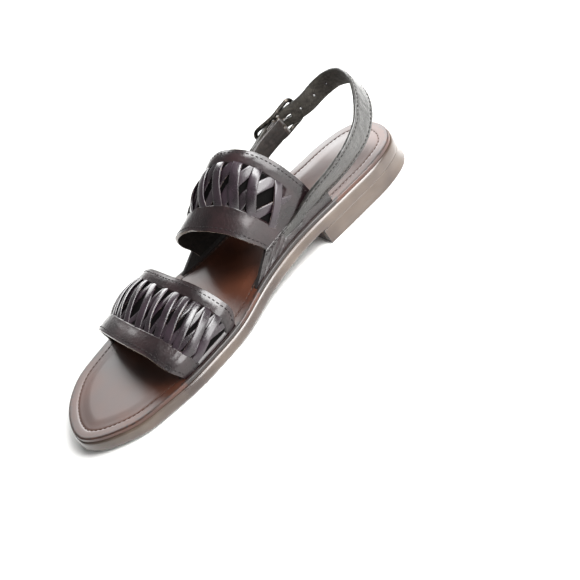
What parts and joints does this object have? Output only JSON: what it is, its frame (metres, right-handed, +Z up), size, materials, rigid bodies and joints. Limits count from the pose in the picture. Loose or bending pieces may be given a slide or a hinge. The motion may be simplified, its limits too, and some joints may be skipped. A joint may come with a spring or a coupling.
{
  "type": "huarache sandal",
  "caption": "Dark brown leather huarache sandal with two laced bands over the foot, a buckled heel strap and a low heel.",
  "frame": {"origin": "middle of the heel's underside, on the floor the sandal stands on", "axes": "+Z up, the toe points to -Y, +X is the inner (medial) side of the right foot"},
  "size_m": [0.1013, 0.2962, 0.087],
  "materials": {
    "edge": "burnished gloss",
    "insole": "glazed",
    "upper": "glazed gloss",
    "buckle": "dark bronzed"
  },
  "bodies": {
    "root": {"outsole": "edge", "heel": "edge", "insole": "insole", "front_band": "upper", "instep_band_and_heel_strap": "upper", "buckle_frame": "buckle", "buckle_prong": "buckle"}
  },
  "joints": []
}
